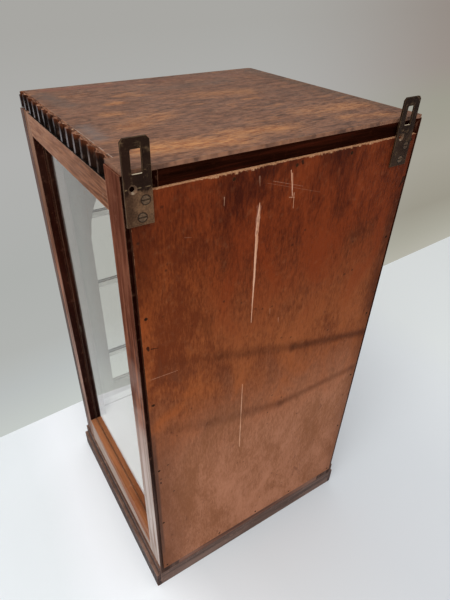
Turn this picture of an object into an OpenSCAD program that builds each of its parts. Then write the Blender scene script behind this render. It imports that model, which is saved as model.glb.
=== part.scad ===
/* [Case] */
// Width over the corner posts
case_w = 291.8; // [270:0.2:340]
// Depth from the front posts' front faces to the rear posts' rear faces
case_d = 252.8; // [220:0.2:300]
// Height of the top surface above the ground
case_h = 560; // [500:1:680]
// Width of each corner post, measured across the cabinet
post_w = 27; // [26:0.5:32]
// Depth of each rear post
rear_post_d = 27.4; // [25:0.2:32]
// Depth of each front post
front_post_d = 17; // [16:0.5:22]
// Thickness of the side rails
side_rail_t = 20; // [18:0.5:23]
// Height of the top rails in the side frames
top_rail_h = 22; // [20:1:30]
// Height of the bottom rails in the side frames
bottom_rail_h = 60; // [50:1:80]
// Thickness of the front and rear cross rails
cross_rail_t = 17; // [14:0.5:20]
// Length of the tenons on the cross rails
tenon_l = 8; // [5:0.5:10]
// Thickness of the tenons on the cross rails
tenon_t = 6; // [4:0.5:8]
// Shoulder above and below each tenon
tenon_shoulder = 5; // [3:0.5:8]

/* [Base and plinth] */
// Height of the base frame
base_h = 27; // [20:0.5:40]
// Thickness of the base boards
base_t = 18; // [14:0.5:24]
// Projection of the plinth's lower step beyond the case
plinth_step = 6; // [3:0.5:9]
// Projection of the plinth's upper step beyond the case
upper_step = 2.5; // [1.5:0.25:2.75]
// Height of the plinth's upper step
upper_step_h = 17.5; // [12:0.5:24]
// Setback of the base frame behind the door's front face
base_setback = 2; // [0:0.25:4]

/* [Cornice] */
// Thickness of the top board
top_t = 3; // [2:0.5:6]
// Clipped corners at the top board's front
top_clip = 3; // [1:0.25:5]
// Height of the fluted frieze strips
frieze_h = 12; // [10:0.5:18]
// Thickness of the fluted frieze strips
frieze_t = 11.7; // [9:0.1:12.5]
// Width of the right strip's lip, which rises beside the top board
frieze_lip = 5.5; // [5.25:0.25:8]
// Setback of the cornice behind the faces below it
frieze_setback = 1.3; // [0.5:0.1:2.5]
// Spacing aimed at from flute to flute
flute_pitch = 17; // [14:0.5:20]
// Depth of each flute
flute_d = 3; // [1.5:0.25:4]
// Width of the flat arris left between two flutes
flute_land = 2.6; // [1.5:0.1:4]

/* [Glass sides] */
// Depth of the glass behind the outer face of the frame
pane_reveal = 8.2; // [6:0.1:9]
// Thickness of the side panes
pane_t = 2; // [1.5:0.25:3]
// Play behind a side pane in its grooves, which leaves a dark line inside the glass
pane_play = 2; // [0.5:0.25:2.5]
// Depth of the grooves that hold the panes
groove_d = 6; // [4:0.5:8]
// Clearance above and beside a pane in its grooves
pane_clear = 0.4; // [0.2:0.1:1]

/* [Inside] */
// Thickness of the floor board
floor_t = 8; // [6:0.5:12]

/* [Back] */
// Bare margin of the rear post beside the back panel, at the right
panel_right_margin = 3.3; // [1:0.1:6]
// Bare margin of the rear post beside the back panel, at the left
panel_left_margin = 7.5; // [3:0.1:9]
// Thickness of the plywood back panel
panel_t = 3.5; // [2.5:0.25:4.5]
// Drop of the panel's top edge below the top surface
panel_drop = 15; // [10:0.5:20]
// Number of panel pins up each side
side_pins = 6; // [3:1:9]
// Number of panel pins along the bottom edge and along the top edge
cross_pins = 3; // [2:1:5]
// Distance of the panel pins from the panel's edge
pin_inset = 5; // [3.5:0.25:8]
// Radius of a panel pin's head
pin_head_r = 1.5; // [1:0.1:2]
// Thickness of a panel pin's head
pin_head_h = 0.6; // [0.3:0.1:1]
// Radius of a panel pin's shank
pin_shank_r = 0.7; // [0.5:0.05:0.9]
// Length of a panel pin
pin_l = 14; // [8:0.5:18]

/* [Hangers] */
// Width of a hanging plate
hanger_w = 20; // [18:0.5:24]
// Height of a hanging plate
hanger_h = 59; // [57:0.5:66]
// Thickness of a hanging plate
hanger_t = 1.5; // [1.25:0.05:2]
// Clipped corners at the head of a hanging plate
hanger_clip = 2.2; // [1:0.1:4]
// Width of the hanging slot
slot_w = 7.8; // [6:0.1:9]
// Height of the hanging slot
slot_h = 16; // [12:0.5:18]
// Radius of the slot's corners
slot_corner_r = 1; // [0.5:0.1:2]
// Distance of the slot's top below the plate's head
slot_drop = 7.2; // [5:0.1:9]
// Inset of the right plate's centre line from the case's side
right_hanger_inset = 10.4; // [10.4:0.1:13]
// Rise of the right plate's head above the top surface
right_hanger_rise = 21.5; // [19:0.5:24]
// Inset of the left plate's centre line from the case's side
left_hanger_inset = 25.1; // [14:0.1:25.5]
// Rise of the left plate's head above the top surface
left_hanger_rise = 18; // [18:0.5:24]
// Radius of a hanger screw's head
hanger_screw_head_r = 3.2; // [2.6:0.1:3.4]
// Radius of a hanger screw's shank
hanger_screw_r = 1.8; // [1.6:0.1:2]
// Length of a hanger screw
hanger_screw_l = 22; // [14:0.5:24]

/* [Door] */
// Thickness of the door
door_t = 13; // [12:0.5:18]
// Gap between the closed door and the posts
door_gap = 0.6; // [0.4:0.1:1]
// Clearance above and below the door
door_clear = 1; // [0.6:0.1:2]
// Width of the door's stiles
stile_w = 51; // [46:0.5:56]
// Height of the door's rail above the crown of the arch
crown_h = 62; // [50:1:80]
// Height of the door's bottom rail
door_bottom_h = 81; // [60:0.5:110]
// Flat shoulder at each foot of the arch
arch_shoulder = 1.5; // [1:0.5:6]
// Thickness of the door's glass
door_glass_t = 3; // [2.5:0.25:4]
// Depth of the grooves in the door frame
door_groove_d = 6; // [4:0.5:8]
// Height of a glazing bar
bar_h = 7; // [5:0.5:9]
// Depth of a glazing bar from front to back
bar_d = 9; // [7:0.5:11]
// Thickness of the web between the panes in a glazing bar
bar_web = 2; // [1.5:0.1:3]
// Height of the lower glazing bar's middle above the bottom rail
lower_bar_rise = 59; // [40:1:100]
// Height of the middle glazing bar's middle above the bottom rail
middle_bar_rise = 185; // [150:1:210]
// Drop of the upper glazing bar's middle below the crown of the arch
upper_bar_drop = 68.5; // [50:0.5:100]
// Distance of the knob's middle from the door's free edge
knob_inset = 19; // [14:0.5:26]
// Length of the knob ahead of the door
knob_l = 16; // [14:0.5:22]
// Radius of the knob's head
knob_r = 8; // [7.5:0.25:9]
// Radius of the knob's rounded edge
knob_edge_r = 3; // [2.5:0.25:3.5]
// Radius of the rose at the knob's foot
rose_r = 7; // [6:0.25:9]
// Thickness of the rose
rose_t = 2; // [1.5:0.25:3]
// Radius of the knob's neck
neck_r = 3.8; // [3.5:0.1:4.5]
// Radius of the knob screw's head
knob_screw_head_r = 4; // [3.4:0.1:4.5]
// Radius of the knob screw's shank
knob_screw_r = 2; // [1.6:0.1:2.2]
// Length of the knob screw inside the knob
knob_screw_grip = 9; // [6:0.5:11]

/* [Hinges] */
// Height of a hinge
hinge_h = 38; // [36:1:60]
// Distance of a hinge's middle from the door's end
hinge_inset = 62; // [50:1:100]
// Width of a hinge leaf on the wood
leaf_w = 15; // [12:0.5:20]
// Thickness of a hinge leaf
leaf_t = 1.2; // [1:0.05:1.4]
// Radius of the hinge barrel
barrel_r = 2.2; // [2:0.05:2.4]
// Distance of the hinge pin outside the case's side
barrel_offset = 2.8; // [2.7:0.05:3.4]
// Radius of the hinge pin
hinge_pin_r = 1; // [0.8:0.05:1.2]
// Running clearance of the door leaf round the hinge pin
hinge_fit = 0.06; // [0.03:0.01:0.1]
// Gap between neighbouring knuckles
knuckle_gap = 0.3; // [0.2:0.05:0.5]
// Radius of the hinge pin's heads
hinge_pin_head_r = 1.7; // [1.4:0.05:2]
// Thickness of the hinge pin's heads
hinge_pin_head_h = 0.9; // [0.6:0.05:1.5]
// Distance between the two screws of a leaf
leaf_screw_pitch = 22; // [16:0.5:24]

/* [Catch] */
// Width of the magnet block and of its strike plate
catch_w = 30; // [26:0.5:40]
// Depth of the magnet block
magnet_d = 12; // [10:0.5:15]
// Height of the magnet block
magnet_h = 12; // [10:0.5:12]
// Distance of the catch's middle from the lock stile
catch_inset = 20; // [16:0.5:60]
// Thickness of the strike plate
strike_t = 1; // [0.8:0.05:1.2]
// Height of the strike plate
strike_h = 10; // [7:0.5:11]
// Gap between the strike plate and the magnet
catch_gap = 0.3; // [0.2:0.05:0.6]
// Distance between the two screws of the catch or the strike
catch_screw_pitch = 18; // [14:0.5:20]
// Radius of the small screws' heads on hinges and catch
small_head_r = 2; // [1.6:0.1:2.2]
// Radius of the small screws' shanks on hinges and catch
small_shank_r = 1.1; // [0.9:0.05:1.3]
// Length of the small screws
small_screw_l = 9; // [7:0.5:9.5]
// Length of the screws that hold the magnet block
magnet_screw_l = 20; // [17:0.5:24]
// Height of a countersunk head on the small screws
small_head_h = 0.8; // [0.6:0.05:0.8]

/* [Hidden] */
$fn = 48;

// Cutters run this far past the faces they open
over = 1;
// Width of the slot in every screw head
driver_slot = 0.8;

// Planes across the cabinet, counted from its centre line
half_w = case_w / 2;
post_in = half_w - post_w;
rail_in = half_w - side_rail_t;
pane_x = half_w - pane_reveal;
pane_in = pane_x - pane_t;
groove_x = pane_in - pane_play;
frieze_x = half_w - frieze_setback;

// Planes from front to back; the origin is midway from the knob to the hanging plates
rear_y = (knob_l + door_t + door_gap + case_d - panel_t - hanger_t) / 2;
front_y = rear_y - case_d;
door_rear_y = front_y - door_gap;
door_front_y = door_rear_y - door_t;
front_post_y = front_y + front_post_d;
rear_post_y = rear_y - rear_post_d;
base_y = door_front_y + base_setback;
frieze_y = door_front_y + frieze_setback;
panel_y = rear_y + panel_t;

// Levels above the ground
top_z = case_h - top_t;
frieze_z = top_z - frieze_h;
head_z = frieze_z - top_rail_h;
sill_z = base_h + bottom_rail_h;
floor_z = sill_z - floor_t;
step_z = base_h + upper_step_h;

// Back panel
panel_x0 = panel_left_margin - half_w;
panel_x1 = half_w - panel_right_margin;
panel_top_z = case_h - panel_drop;

// Hanging plates: places of the holes from the plate's centre line and its head
spare_hole = [4, -33];
upper_screw = [-4.7, -41.5];
lower_screw = [-1.5, -53.5];
right_hanger = [half_w - right_hanger_inset, case_h + right_hanger_rise];
left_hanger = [left_hanger_inset - half_w, case_h + left_hanger_rise];
hanger_head_h = hanger_screw_head_r - hanger_screw_r;

// Flutes in whole numbers along each face
side_run = rear_post_y - frieze_y;
side_flutes = round(side_run / flute_pitch);
front_flutes = round(2 * frieze_x / flute_pitch);

// Door
door_z0 = step_z + door_clear;
door_z1 = frieze_z - door_clear;
stile_in = half_w - stile_w;
door_groove_y0 = door_front_y + (door_t - door_glass_t) / 2;
door_groove_y1 = door_groove_y0 + door_glass_t;
arch_r = stile_in - arch_shoulder;
crown_z = door_z1 - crown_h;
spring_z = crown_z - arch_r;
door_sill_z = door_z0 + door_bottom_h;
lower_bar_z = door_sill_z + lower_bar_rise;
middle_bar_z = door_sill_z + middle_bar_rise;
upper_bar_z = crown_z - upper_bar_drop;
knob_x = half_w - knob_inset;
knob_z = (door_z0 + door_z1) / 2;
knob_screw_head_h = knob_screw_head_r - knob_screw_r;

// Hinges
pin_x = -half_w - barrel_offset;
hinge_pin_y = front_y - door_gap / 2;
hinge_upper_z = door_z1 - hinge_inset;
hinge_lower_z = door_z0 + hinge_inset;
knuckle_h = hinge_h / 3;

// Catch
catch_x = stile_in - catch_inset;
magnet_y = door_rear_y + strike_t + catch_gap;
catch_screw_y = magnet_y + magnet_d / 2;
strike_z = head_z - magnet_h / 2;

// A box between two corners given as ranges
module block(x, y, z)
    translate([x[0], y[0], z[0]])
        cube([x[1] - x[0], y[1] - y[0], z[1] - z[0]]);

// Children as drawn for the right side, mirrored for the left
module on_side(side) {
    if (side < 0) mirror([1, 0, 0]) children();
    else children();
}

// A countersunk screw along Z: its head's face at 0, its point below
module screw_body(head_r, shank_r, head_h, length) {
    translate([0, 0, -head_h]) cylinder(r1 = shank_r, r2 = head_r, h = head_h);
    translate([0, 0, -length]) cylinder(r = shank_r, h = length);
}

module screw(head_r, shank_r, head_h, length)
    difference() {
        screw_body(head_r, shank_r, head_h, length);
        translate([0, 0, over - head_h / 2])
            cube([2 * head_r + over, driver_slot, 2 * over], center = true);
    }

// A screw's or knob's place and direction: its head faces the rear, or the front
module from_rear(x, y, z) translate([x, y, z]) rotate([-90, 0, 0]) children();
module from_front(x, y, z) translate([x, y, z]) rotate([90, 0, 0]) children();

// A row of upright cutters along X that scallop a face whose outside is -Y
module flute_row(run, count) {
    pitch = run / count;
    half_chord = (pitch - flute_land) / 2;
    r = (half_chord * half_chord + flute_d * flute_d) / (2 * flute_d);
    for (i = [0 : count - 1])
        translate([(i + 0.5) * pitch, flute_d - r, -over])
            cylinder(r = r, h = frieze_h + top_t + 2 * over);
}

module front_flute_cutters()
    translate([-frieze_x, frieze_y, frieze_z]) flute_row(2 * frieze_x, front_flutes);

module side_flute_cutters(side)
    on_side(side)
        translate([frieze_x, frieze_y, frieze_z]) rotate(90) flute_row(side_run, side_flutes);

// The space of pane and stub tenons in a side frame
module side_groove(side, z)
    on_side(side)
        block([groove_x, pane_x], [front_post_y - groove_d, rear_post_y + groove_d], z);

// The tenons of a cross rail, at both ends
module cross_tenons(y_mid, z)
    for (side = [-1, 1])
        on_side(side)
            block([post_in - over, post_in + tenon_l],
                  [y_mid - tenon_t / 2, y_mid + tenon_t / 2],
                  [z[0] + tenon_shoulder, z[1] - tenon_shoulder]);

front_rail_mid = front_y + front_post_d / 2;
rear_rail_mid = rear_y - cross_rail_t / 2;

module front_tenons() {
    cross_tenons(front_rail_mid, [head_z, frieze_z]);
    cross_tenons(front_rail_mid, [base_h, floor_z]);
}

module rear_tenons() {
    cross_tenons(rear_rail_mid, [head_z, top_z]);
    cross_tenons(rear_rail_mid, [base_h, floor_z]);
}

// Base frame: four boards butted under the posts
module base_front()
    color("#4d3a35")
        block([-half_w, half_w], [base_y, base_y + base_t], [0, base_h]);

module base_rear()
    color("#4d3a35")
        block([-half_w, half_w], [rear_y - base_t, rear_y], [0, base_h]);

module base_side(side)
    color("#4d3a35")
        on_side(side)
            block([half_w - base_t, half_w], [base_y + base_t, rear_y - base_t], [0, base_h]);

// Plinth: a moulding in two steps, mitred at the front corners
module plinth_front()
    color("#5a4742") {
        linear_extrude(base_h)
            polygon([
                [-half_w - plinth_step, base_y - plinth_step],
                [half_w + plinth_step, base_y - plinth_step],
                [half_w, base_y],
                [-half_w, base_y]
            ]);
        translate([0, 0, base_h])
            linear_extrude(upper_step_h)
                polygon([
                    [-half_w - upper_step, base_y - upper_step],
                    [half_w + upper_step, base_y - upper_step],
                    [half_w, base_y],
                    [half_w, front_y],
                    [-half_w, front_y],
                    [-half_w, base_y]
                ]);
    }

module plinth_side_step(step, height)
    linear_extrude(height)
        polygon([
            [half_w, base_y],
            [half_w + step, base_y - step],
            [half_w + step, rear_y],
            [half_w, rear_y]
        ]);

module plinth_side(side)
    color("#5a4742")
        on_side(side) {
            plinth_side_step(plinth_step, base_h);
            translate([0, 0, base_h]) plinth_side_step(upper_step, upper_step_h);
        }

// Corner posts, grooved for the side panes and mortised for the cross rails
module rear_post(side)
    color("#9a6a5c")
        difference() {
            on_side(side)
                block([post_in, half_w], [rear_post_y, rear_y], [base_h, top_z]);
            side_groove(side, [base_h - over, frieze_z]);
            rear_tenons();
            panel_pin_shapes();
            hanger_screw_shapes();
        }

module front_post(side)
    color("#7b4a3c")
        difference() {
            on_side(side)
                block([post_in, half_w], [front_y, front_post_y], [base_h, frieze_z]);
            side_groove(side, [base_h - over, frieze_z + over]);
            front_tenons();
            frame_leaf_plate(hinge_upper_z);
            frame_leaf_plate(hinge_lower_z);
            frame_screw_shapes();
        }

// Side rails, with stub tenons that fill the posts' grooves
module side_rail(side, z, pane_z, tenon_z) {
    difference() {
        on_side(side)
            block([rail_in, half_w], [front_post_y, rear_post_y], z);
        side_groove(side, pane_z);
    }
    side_groove_ends(side, tenon_z);
}

module side_groove_ends(side, z)
    on_side(side) {
        block([groove_x, pane_x], [front_post_y - groove_d, front_post_y + over], z);
        block([groove_x, pane_x], [rear_post_y - over, rear_post_y + groove_d], z);
    }

module side_top_rail(side)
    color("#b98a76")
        side_rail(side, [head_z, frieze_z], [head_z - over, head_z + groove_d],
                  [head_z + groove_d, frieze_z]);

module side_bottom_rail(side)
    color("#a06a4e")
        side_rail(side, [base_h, sill_z], [sill_z - groove_d, sill_z + over],
                  [base_h, sill_z - groove_d]);

// Cross rails between the posts, front and rear
module rear_top_rail()
    color("#6b3326")
        difference() {
            union() {
                block([-post_in, post_in], [rear_y - cross_rail_t, rear_y], [head_z, top_z]);
                cross_tenons(rear_rail_mid, [head_z, top_z]);
            }
            panel_pin_shapes();
            hanger_screw_shapes();
        }

module rear_bottom_rail()
    color("#7a5a50")
        difference() {
            union() {
                block([-post_in, post_in], [rear_y - cross_rail_t, rear_y], [base_h, floor_z]);
                cross_tenons(rear_rail_mid, [base_h, floor_z]);
            }
            panel_pin_shapes();
        }

module front_top_rail()
    color("#7b4a3c")
        difference() {
            union() {
                block([-post_in, post_in], [front_y, front_post_y], [head_z, top_z]);
                cross_tenons(front_rail_mid, [head_z, frieze_z]);
            }
            catch_screw_shapes();
        }

module front_bottom_rail()
    color("#7b4a3c") {
        block([-post_in, post_in], [front_y, front_post_y], [base_h, floor_z]);
        cross_tenons(front_rail_mid, [base_h, floor_z]);
    }

// Panes of the side frames, standing on the bottom rails' grooves
module side_glass(side)
    color("#b9c6c4")
        on_side(side)
            block([pane_in, pane_x],
                  [front_post_y - groove_d + pane_clear, rear_post_y + groove_d - pane_clear],
                  [sill_z - groove_d, head_z + groove_d - pane_clear]);

// A floor notched round the posts
module floor_board()
    color("#8d5f4a") {
        block([-rail_in, rail_in], [front_post_y, rear_post_y], [floor_z, sill_z]);
        block([-post_in, post_in], [front_y, rear_y], [floor_z, sill_z]);
    }

// Cornice: a thin top board over three fluted strips, the right one flush with the board's top
module top_board()
    color("#6f4a3c")
        translate([0, 0, top_z])
            linear_extrude(top_t)
                polygon([
                    [-frieze_x, rear_y],
                    [-frieze_x, frieze_y + top_clip],
                    [-frieze_x + top_clip, frieze_y],
                    [frieze_x - frieze_lip, frieze_y],
                    [frieze_x - frieze_lip, rear_post_y],
                    [frieze_x, rear_post_y],
                    [frieze_x, rear_y]
                ]);

module frieze_front()
    color("#2a2320")
        difference() {
            translate([0, 0, frieze_z])
                linear_extrude(frieze_h)
                    polygon([
                        [-frieze_x, frieze_y],
                        [frieze_x, frieze_y],
                        [frieze_x - (front_y - frieze_y), front_y],
                        [-frieze_x + (front_y - frieze_y), front_y]
                    ]);
            front_flute_cutters();
        }

module frieze_strip(side)
    on_side(side)
        translate([0, 0, frieze_z])
            linear_extrude(frieze_h)
                polygon([
                    [frieze_x, frieze_y],
                    [frieze_x, rear_post_y],
                    [frieze_x - frieze_t, rear_post_y],
                    [frieze_x - frieze_t, frieze_y + frieze_t]
                ]);

// The right strip's lip, which the flutes run up through
module frieze_lip_body()
    translate([0, 0, top_z])
        linear_extrude(top_t)
            polygon([
                [frieze_x - frieze_lip, frieze_y],
                [frieze_x - top_clip, frieze_y],
                [frieze_x, frieze_y + top_clip],
                [frieze_x, rear_post_y],
                [frieze_x - frieze_lip, rear_post_y]
            ]);

module frieze_left()
    color("#2a2320")
        difference() {
            frieze_strip(-1);
            side_flute_cutters(-1);
        }

module frieze_right()
    color("#2a2320")
        difference() {
            union() {
                frieze_strip(1);
                frieze_lip_body();
            }
            side_flute_cutters(1);
        }

// Back: a plywood panel pinned over the frame
module back_panel()
    color("#a5705c")
        difference() {
            block([panel_x0, panel_x1], [rear_y, panel_y], [step_z, panel_top_z]);
            panel_pin_shapes();
            hanger_screw_shapes();
        }

function spread(a, b, count, i) = a + (b - a) * i / (count - 1);

module panel_pin(x, z)
    from_rear(x, panel_y, z) rotate([180, 0, 0]) {
        cylinder(r = pin_head_r, h = pin_head_h);
        cylinder(r = pin_shank_r, h = pin_l);
    }

module panel_pin_shapes() {
    z0 = step_z + pin_inset;
    z1 = panel_top_z - pin_inset;
    for (i = [0 : side_pins - 1]) {
        panel_pin(panel_x0 + pin_inset, spread(z0, z1, side_pins, i));
        panel_pin(panel_x1 - pin_inset, spread(z0, z1, side_pins, i));
    }
    for (i = [1 : cross_pins], z = [z0, z1])
        panel_pin(spread(-post_in, post_in, cross_pins + 2, i), z);
}

module back_panel_pins() color("#5a4a40") panel_pin_shapes();

// Hanging plates with a tall slot, two screws and a spare hole each
module slot_outline() {
    square([slot_w - 2 * slot_corner_r, slot_h], center = true);
    square([slot_w, slot_h - 2 * slot_corner_r], center = true);
    for (x = [-1, 1], y = [-1, 1])
        translate([x * (slot_w / 2 - slot_corner_r), y * (slot_h / 2 - slot_corner_r)])
            circle(r = slot_corner_r);
}

module hanger_outline()
    difference() {
        polygon([
            [-hanger_w / 2, -hanger_h],
            [hanger_w / 2, -hanger_h],
            [hanger_w / 2, -hanger_clip],
            [hanger_w / 2 - hanger_clip, 0],
            [-hanger_w / 2 + hanger_clip, 0],
            [-hanger_w / 2, -hanger_clip]
        ]);
        translate([0, -slot_drop - slot_h / 2]) slot_outline();
    }

module hanger_hole(place)
    translate([place[0], place[1], 0])
        screw_body(hanger_screw_head_r, hanger_screw_r, hanger_head_h, hanger_t + over);

module hanger(centre)
    color("#6d6238")
        translate([centre[0], panel_y, centre[1]])
            rotate([90, 0, 180])
                mirror([1, 0, 0])
                    difference() {
                        linear_extrude(hanger_t) hanger_outline();
                        translate([0, 0, hanger_t]) {
                            hanger_hole(spare_hole);
                            hanger_hole(upper_screw);
                            hanger_hole(lower_screw);
                        }
                    }

module at_hanger_screws()
    for (centre = [left_hanger, right_hanger], place = [upper_screw, lower_screw])
        from_rear(centre[0] + place[0], panel_y + hanger_t, centre[1] + place[1])
            children();

module hanger_screw_shapes()
    at_hanger_screws()
        screw_body(hanger_screw_head_r, hanger_screw_r, hanger_head_h, hanger_screw_l);

module hanger_screws()
    color("#4a4234")
        at_hanger_screws()
            screw(hanger_screw_head_r, hanger_screw_r, hanger_head_h, hanger_screw_l);

// Door: a grooved frame round four panes, its top rail cut to a round arch
module door_groove_space(clear, z)
    block([-stile_in - door_groove_d + clear, stile_in + door_groove_d - clear],
          [door_groove_y0, door_groove_y1], z);

module door_pane_space()
    door_groove_space(0, [door_sill_z - door_groove_d, crown_z + door_groove_d]);

module arch_shape()
    from_front(0, door_rear_y + over, spring_z) cylinder(r = arch_r, h = door_t + 2 * over);

// The grooves' full length in the stiles, which the rails' stub tenons share
module stile_groove()
    block([-stile_in - door_groove_d, stile_in + door_groove_d],
          [door_groove_y0, door_groove_y1], [door_z0 - over, door_z1 + over]);

module door_hinge_stile()
    color("#6a4538")
        difference() {
            block([-half_w, -stile_in], [door_front_y, door_rear_y], [door_z0, door_z1]);
            stile_groove();
            door_leaf_plate(hinge_upper_z);
            door_leaf_plate(hinge_lower_z);
            door_screw_shapes();
        }

module door_lock_stile()
    color("#6a4538")
        difference() {
            block([stile_in, half_w], [door_front_y, door_rear_y], [door_z0, door_z1]);
            stile_groove();
            knob_screw_shape();
        }

module door_stub_tenons(z)
    for (side = [-1, 1])
        on_side(side)
            block([stile_in - over, stile_in + door_groove_d], [door_groove_y0, door_groove_y1], z);

module door_top_rail()
    color("#6a4538")
        difference() {
            union() {
                difference() {
                    block([-stile_in, stile_in], [door_front_y, door_rear_y], [spring_z, door_z1]);
                    door_pane_space();
                }
                door_stub_tenons([crown_z + door_groove_d, door_z1]);
            }
            arch_shape();
            strike_screw_shapes();
        }

module door_bottom_rail()
    color("#6a4538") {
        difference() {
            block([-stile_in, stile_in], [door_front_y, door_rear_y],
                  [door_z0, door_sill_z]);
            door_pane_space();
        }
        door_stub_tenons([door_z0, door_sill_z - door_groove_d]);
    }

// Glazing bars: their webs run on in the stiles' grooves and part the panes
module bar_body(z) {
    y_mid = (door_groove_y0 + door_groove_y1) / 2;
    block([-stile_in, stile_in], [y_mid - bar_d / 2, y_mid + bar_d / 2],
          [z - bar_h / 2, z + bar_h / 2]);
}

module glazing_bar(z)
    color("#6a4538") {
        difference() {
            if (z + bar_h / 2 > spring_z)
                intersection() {
                    bar_body(z);
                    arch_shape();
                }
            else
                bar_body(z);
            door_pane_space();
        }
        door_groove_space(0, [z - bar_web / 2, z + bar_web / 2]);
    }

module door_pane(z0, z1) color("#b9c6c4") door_groove_space(pane_clear, [z0, z1]);

module pane_between(below, above) door_pane(below + bar_web / 2, above - bar_web / 2 - pane_clear);

// Turned knob on the free stile, drawn up by a screw from the rear
module knob_screw_shape()
    from_rear(knob_x, door_rear_y, knob_z)
        screw_body(knob_screw_head_r, knob_screw_r, knob_screw_head_h, door_t + knob_screw_grip);

module knob_screw()
    color("#8f7a3c")
        from_rear(knob_x, door_rear_y, knob_z)
            screw(knob_screw_head_r, knob_screw_r, knob_screw_head_h, door_t + knob_screw_grip);

module door_knob()
    color("#9a8344")
        difference() {
            from_front(knob_x, door_front_y, knob_z) {
                cylinder(r = rose_r, h = rose_t);
                cylinder(r = neck_r, h = knob_l - knob_edge_r);
                translate([0, 0, knob_l - 2 * knob_edge_r])
                    cylinder(r = knob_r - knob_edge_r, h = 2 * knob_edge_r);
                translate([0, 0, knob_l - knob_edge_r])
                    rotate_extrude()
                        translate([knob_r - knob_edge_r, 0]) circle(r = knob_edge_r);
            }
            knob_screw_shape();
        }

// Butt hinges: a leaf let into the post, a leaf let into the door, and a pin
module leaf_plate(y, z)
    block([-half_w, leaf_w - half_w], y, [z - hinge_h / 2, z + hinge_h / 2]);

module frame_leaf_plate(z) leaf_plate([front_y, front_y + leaf_t], z);
module door_leaf_plate(z) leaf_plate([door_rear_y - leaf_t, door_rear_y], z);

module knuckle(z, index, y, bore_r) {
    low = z - hinge_h / 2 + index * knuckle_h + (index > 0 ? knuckle_gap / 2 : 0);
    high = z - hinge_h / 2 + (index + 1) * knuckle_h - (index < 2 ? knuckle_gap / 2 : 0);
    difference() {
        union() {
            translate([pin_x, hinge_pin_y, low]) cylinder(r = barrel_r, h = high - low);
            block([pin_x, -half_w + over], y, [low, high]);
        }
        translate([pin_x, hinge_pin_y, low - over]) cylinder(r = bore_r, h = high - low + 2 * over);
    }
}

module frame_leaf(z)
    color("#8d7a3e")
        difference() {
            union() {
                frame_leaf_plate(z);
                knuckle(z, 0, [front_y, front_y + leaf_t], hinge_pin_r);
                knuckle(z, 2, [front_y, front_y + leaf_t], hinge_pin_r);
            }
            frame_screw_shapes();
        }

module door_leaf(z)
    color("#8d7a3e")
        difference() {
            union() {
                door_leaf_plate(z);
                knuckle(z, 1, [door_rear_y - leaf_t, door_rear_y], hinge_pin_r + hinge_fit);
            }
            door_screw_shapes();
        }

module hinge_pin(z)
    color("#7a6a3a")
        translate([pin_x, hinge_pin_y, z - hinge_h / 2]) {
            cylinder(r = hinge_pin_r, h = hinge_h);
            translate([0, 0, -hinge_pin_head_h]) cylinder(r = hinge_pin_head_r, h = hinge_pin_head_h);
            translate([0, 0, hinge_h]) cylinder(r = hinge_pin_head_r, h = hinge_pin_head_h);
        }

hinge_screw_x = leaf_w / 2 - half_w;
leaf_screw_levels = [for (z = [hinge_lower_z, hinge_upper_z], k = [-1, 1]) z + k * leaf_screw_pitch / 2];

module at_frame_screws()
    for (z = leaf_screw_levels)
        from_front(hinge_screw_x, front_y, z) children();

module at_door_screws()
    for (z = leaf_screw_levels)
        from_rear(hinge_screw_x, door_rear_y, z) children();

module small_screw_body() screw_body(small_head_r, small_shank_r, small_head_h, small_screw_l);
module small_screw() screw(small_head_r, small_shank_r, small_head_h, small_screw_l);

module frame_screw_shapes() at_frame_screws() small_screw_body();
module door_screw_shapes() at_door_screws() small_screw_body();
module hinge_frame_screws() color("#8f7a3c") at_frame_screws() small_screw();
module hinge_door_screws() color("#8f7a3c") at_door_screws() small_screw();

// Catch: a magnet block under the front top rail and a strike plate on the door
catch_x0 = catch_x - catch_w / 2;
catch_x1 = catch_x + catch_w / 2;
catch_screw_x = [catch_x - catch_screw_pitch / 2, catch_x + catch_screw_pitch / 2];

module at_catch_screws()
    for (x = catch_screw_x)
        translate([x, catch_screw_y, head_z - magnet_h]) rotate([180, 0, 0]) children();

module catch_screw_shapes()
    at_catch_screws()
        screw_body(small_head_r, small_shank_r, small_head_h, magnet_screw_l);

module catch_screws()
    color("#8a8a88")
        at_catch_screws() screw(small_head_r, small_shank_r, small_head_h, magnet_screw_l);

module magnet_catch()
    color("#3b3a38")
        difference() {
            block([catch_x0, catch_x1], [magnet_y, magnet_y + magnet_d],
                  [head_z - magnet_h, head_z]);
            catch_screw_shapes();
        }

module at_strike_screws()
    for (x = catch_screw_x)
        from_rear(x, door_rear_y + strike_t, strike_z) children();

module strike_screw_shapes() at_strike_screws() small_screw_body();
module strike_screws() color("#8a8a88") at_strike_screws() small_screw();

module strike_plate()
    color("#9a9a98")
        difference() {
            block([catch_x0, catch_x1], [door_rear_y, door_rear_y + strike_t],
                  [strike_z - strike_h / 2, strike_z + strike_h / 2]);
            strike_screw_shapes();
        }

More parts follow.
